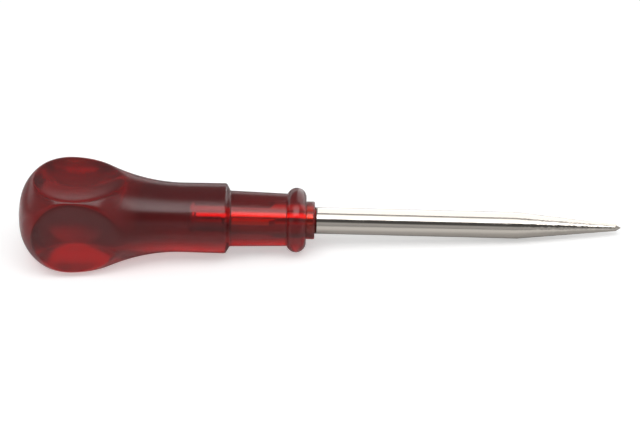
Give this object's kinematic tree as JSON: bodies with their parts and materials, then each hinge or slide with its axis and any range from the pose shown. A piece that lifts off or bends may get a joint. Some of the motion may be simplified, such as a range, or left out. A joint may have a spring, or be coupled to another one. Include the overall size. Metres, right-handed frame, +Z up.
{
  "type": "bradawl",
  "caption": "Hand bradawl: clear red moulded bulb handle with finger scoops, neck, sleeve and bead, and a round steel blade ground to a point.",
  "frame": {"origin": "middle of the bounding box at its underside, with the tool lying at rest on a bench", "axes": "+X from the handle towards the point, +Z up, +Y to the left of someone looking along +X"},
  "size_m": [0.17, 0.0252, 0.0268],
  "materials": {
    "clear_red_plastic": "clear and polished, with fine scuffs from use",
    "blade_steel": "smooth bar with a hand-ground point"
  },
  "bodies": {
    "root": {"handle": "clear_red_plastic", "blade": "blade_steel"}
  },
  "joints": []
}
